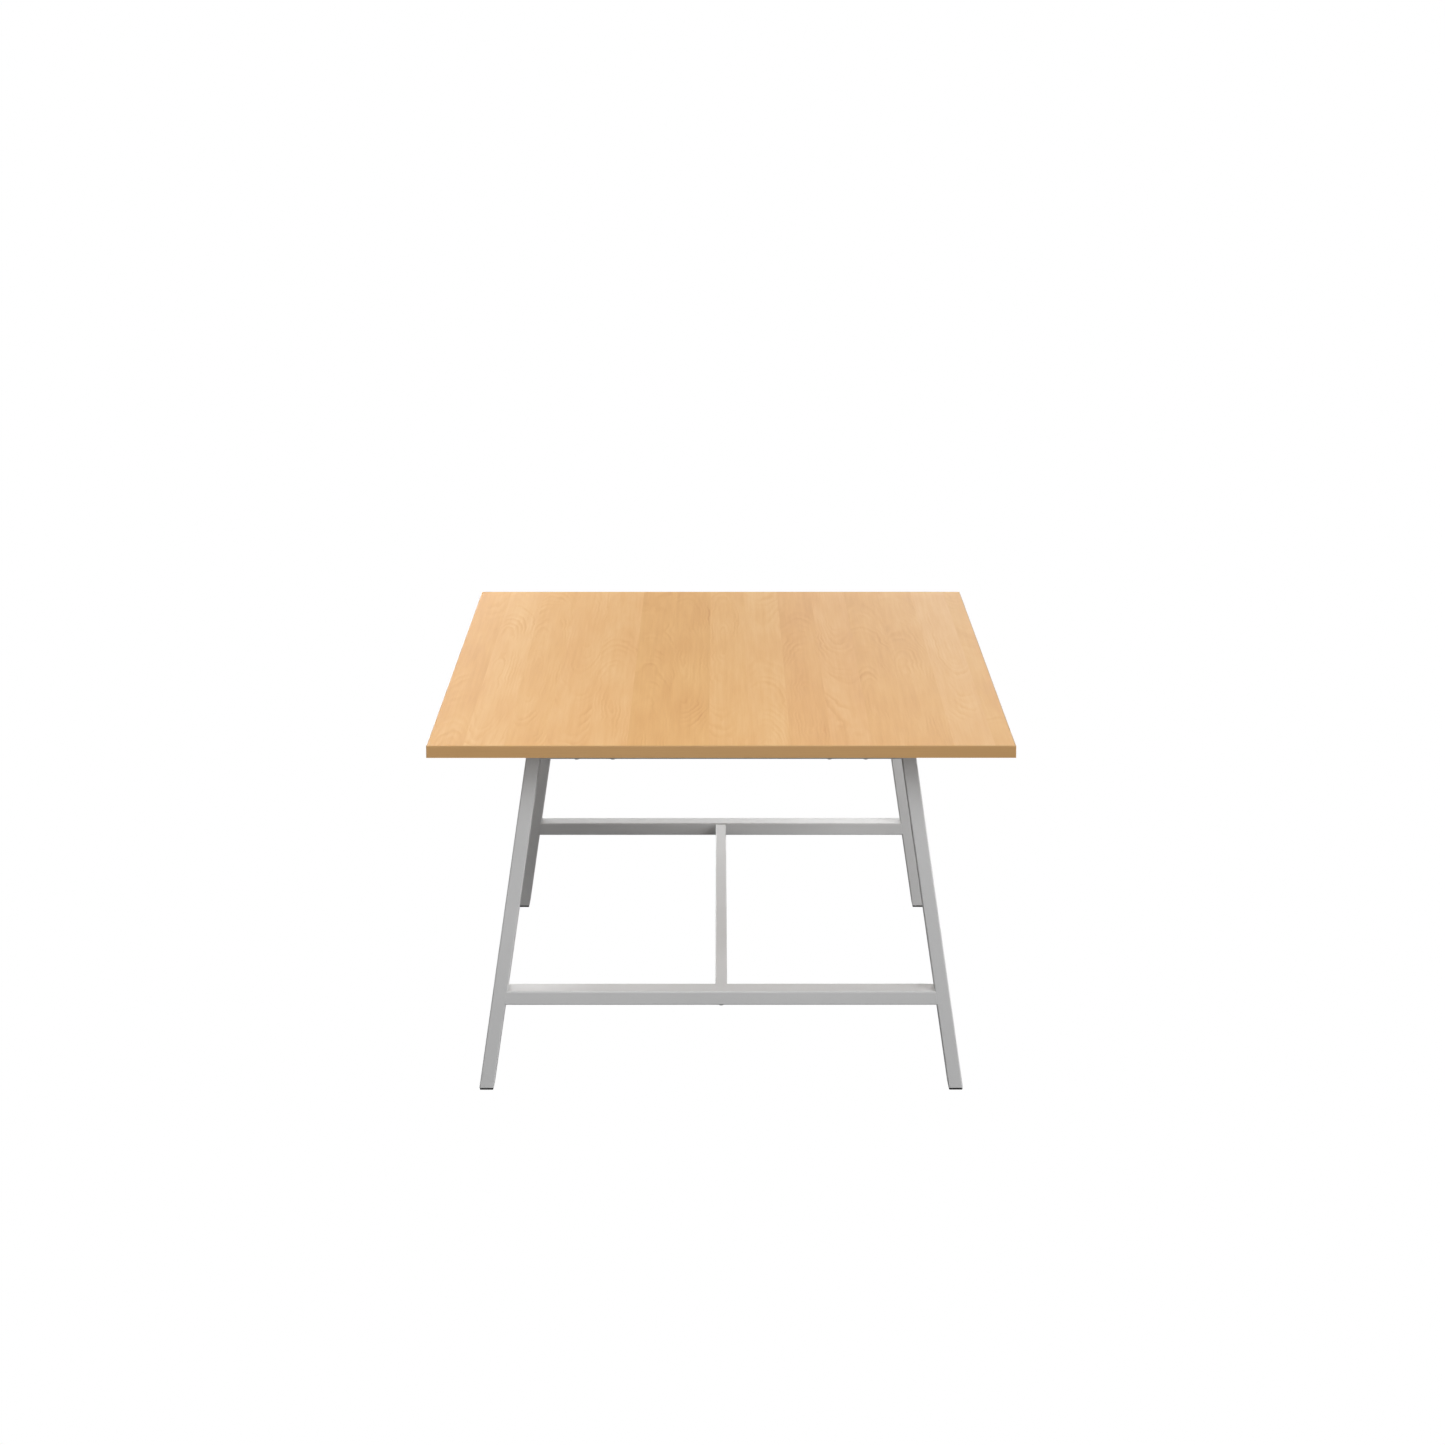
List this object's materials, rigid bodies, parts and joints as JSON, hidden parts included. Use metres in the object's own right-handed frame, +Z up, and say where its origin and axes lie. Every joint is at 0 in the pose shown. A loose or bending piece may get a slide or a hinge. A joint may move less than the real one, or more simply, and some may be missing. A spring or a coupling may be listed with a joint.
{
  "type": "a-frame table",
  "caption": "Table with a lipped beech-effect board on splayed steel end frames, joined by low cross stretchers and a centre beam.",
  "frame": {"origin": "on the floor, under the middle of the table top", "axes": "+Y along the table's length, with the front end at -Y; +X to the right across it; +Z up"},
  "size_m": [1.2, 1.8, 0.77],
  "materials": {
    "beech_decor": "beech decor, satin melamine face with fine pore texture",
    "beech_edging": "beech decor edging strip, satin",
    "silver_grey_coat": "silver grey powder coat, semi-matt with fine texture",
    "black_plastic": "black moulded plastic",
    "bare_steel": "bare mild steel",
    "zinc_plate": "bright zinc plate",
    "insert_brass": "turned brass"
  },
  "bodies": {
    "root": {"top_board": "beech_decor", "front_edge_band": "beech_edging", "rear_edge_band": "beech_edging", "left_edge_band": "beech_edging", "right_edge_band": "beech_edging", "front_left_leg": "silver_grey_coat", "front_left_foot_glide": "black_plastic", "front_right_leg": "silver_grey_coat", "front_right_foot_glide": "black_plastic", "front_top_rail": "silver_grey_coat", "front_cross_stretcher": "silver_grey_coat", "front_beam_tongue": "bare_steel", "front_beam_bolt": "zinc_plate", "front_beam_washer": "zinc_plate", "front_top_bolt_1": "zinc_plate", "front_top_washer_1": "zinc_plate", "front_top_insert_1": "insert_brass", "front_top_bolt_2": "zinc_plate", "front_top_washer_2": "zinc_plate", "front_top_insert_2": "insert_brass", "front_top_bolt_3": "zinc_plate", "front_top_washer_3": "zinc_plate", "front_top_insert_3": "insert_brass", "front_top_bolt_4": "zinc_plate", "front_top_washer_4": "zinc_plate", "front_top_insert_4": "insert_brass", "rear_left_leg": "silver_grey_coat", "rear_left_foot_glide": "black_plastic", "rear_right_leg": "silver_grey_coat", "rear_right_foot_glide": "black_plastic", "rear_top_rail": "silver_grey_coat", "rear_cross_stretcher": "silver_grey_coat", "rear_beam_tongue": "bare_steel", "rear_beam_bolt": "zinc_plate", "rear_beam_washer": "zinc_plate", "rear_top_bolt_1": "zinc_plate", "rear_top_washer_1": "zinc_plate", "rear_top_insert_1": "insert_brass", "rear_top_bolt_2": "zinc_plate", "rear_top_washer_2": "zinc_plate", "rear_top_insert_2": "insert_brass", "rear_top_bolt_3": "zinc_plate", "rear_top_washer_3": "zinc_plate", "rear_top_insert_3": "insert_brass", "rear_top_bolt_4": "zinc_plate", "rear_top_washer_4": "zinc_plate", "rear_top_insert_4": "insert_brass", "centre_beam": "silver_grey_coat"}
  },
  "joints": []
}
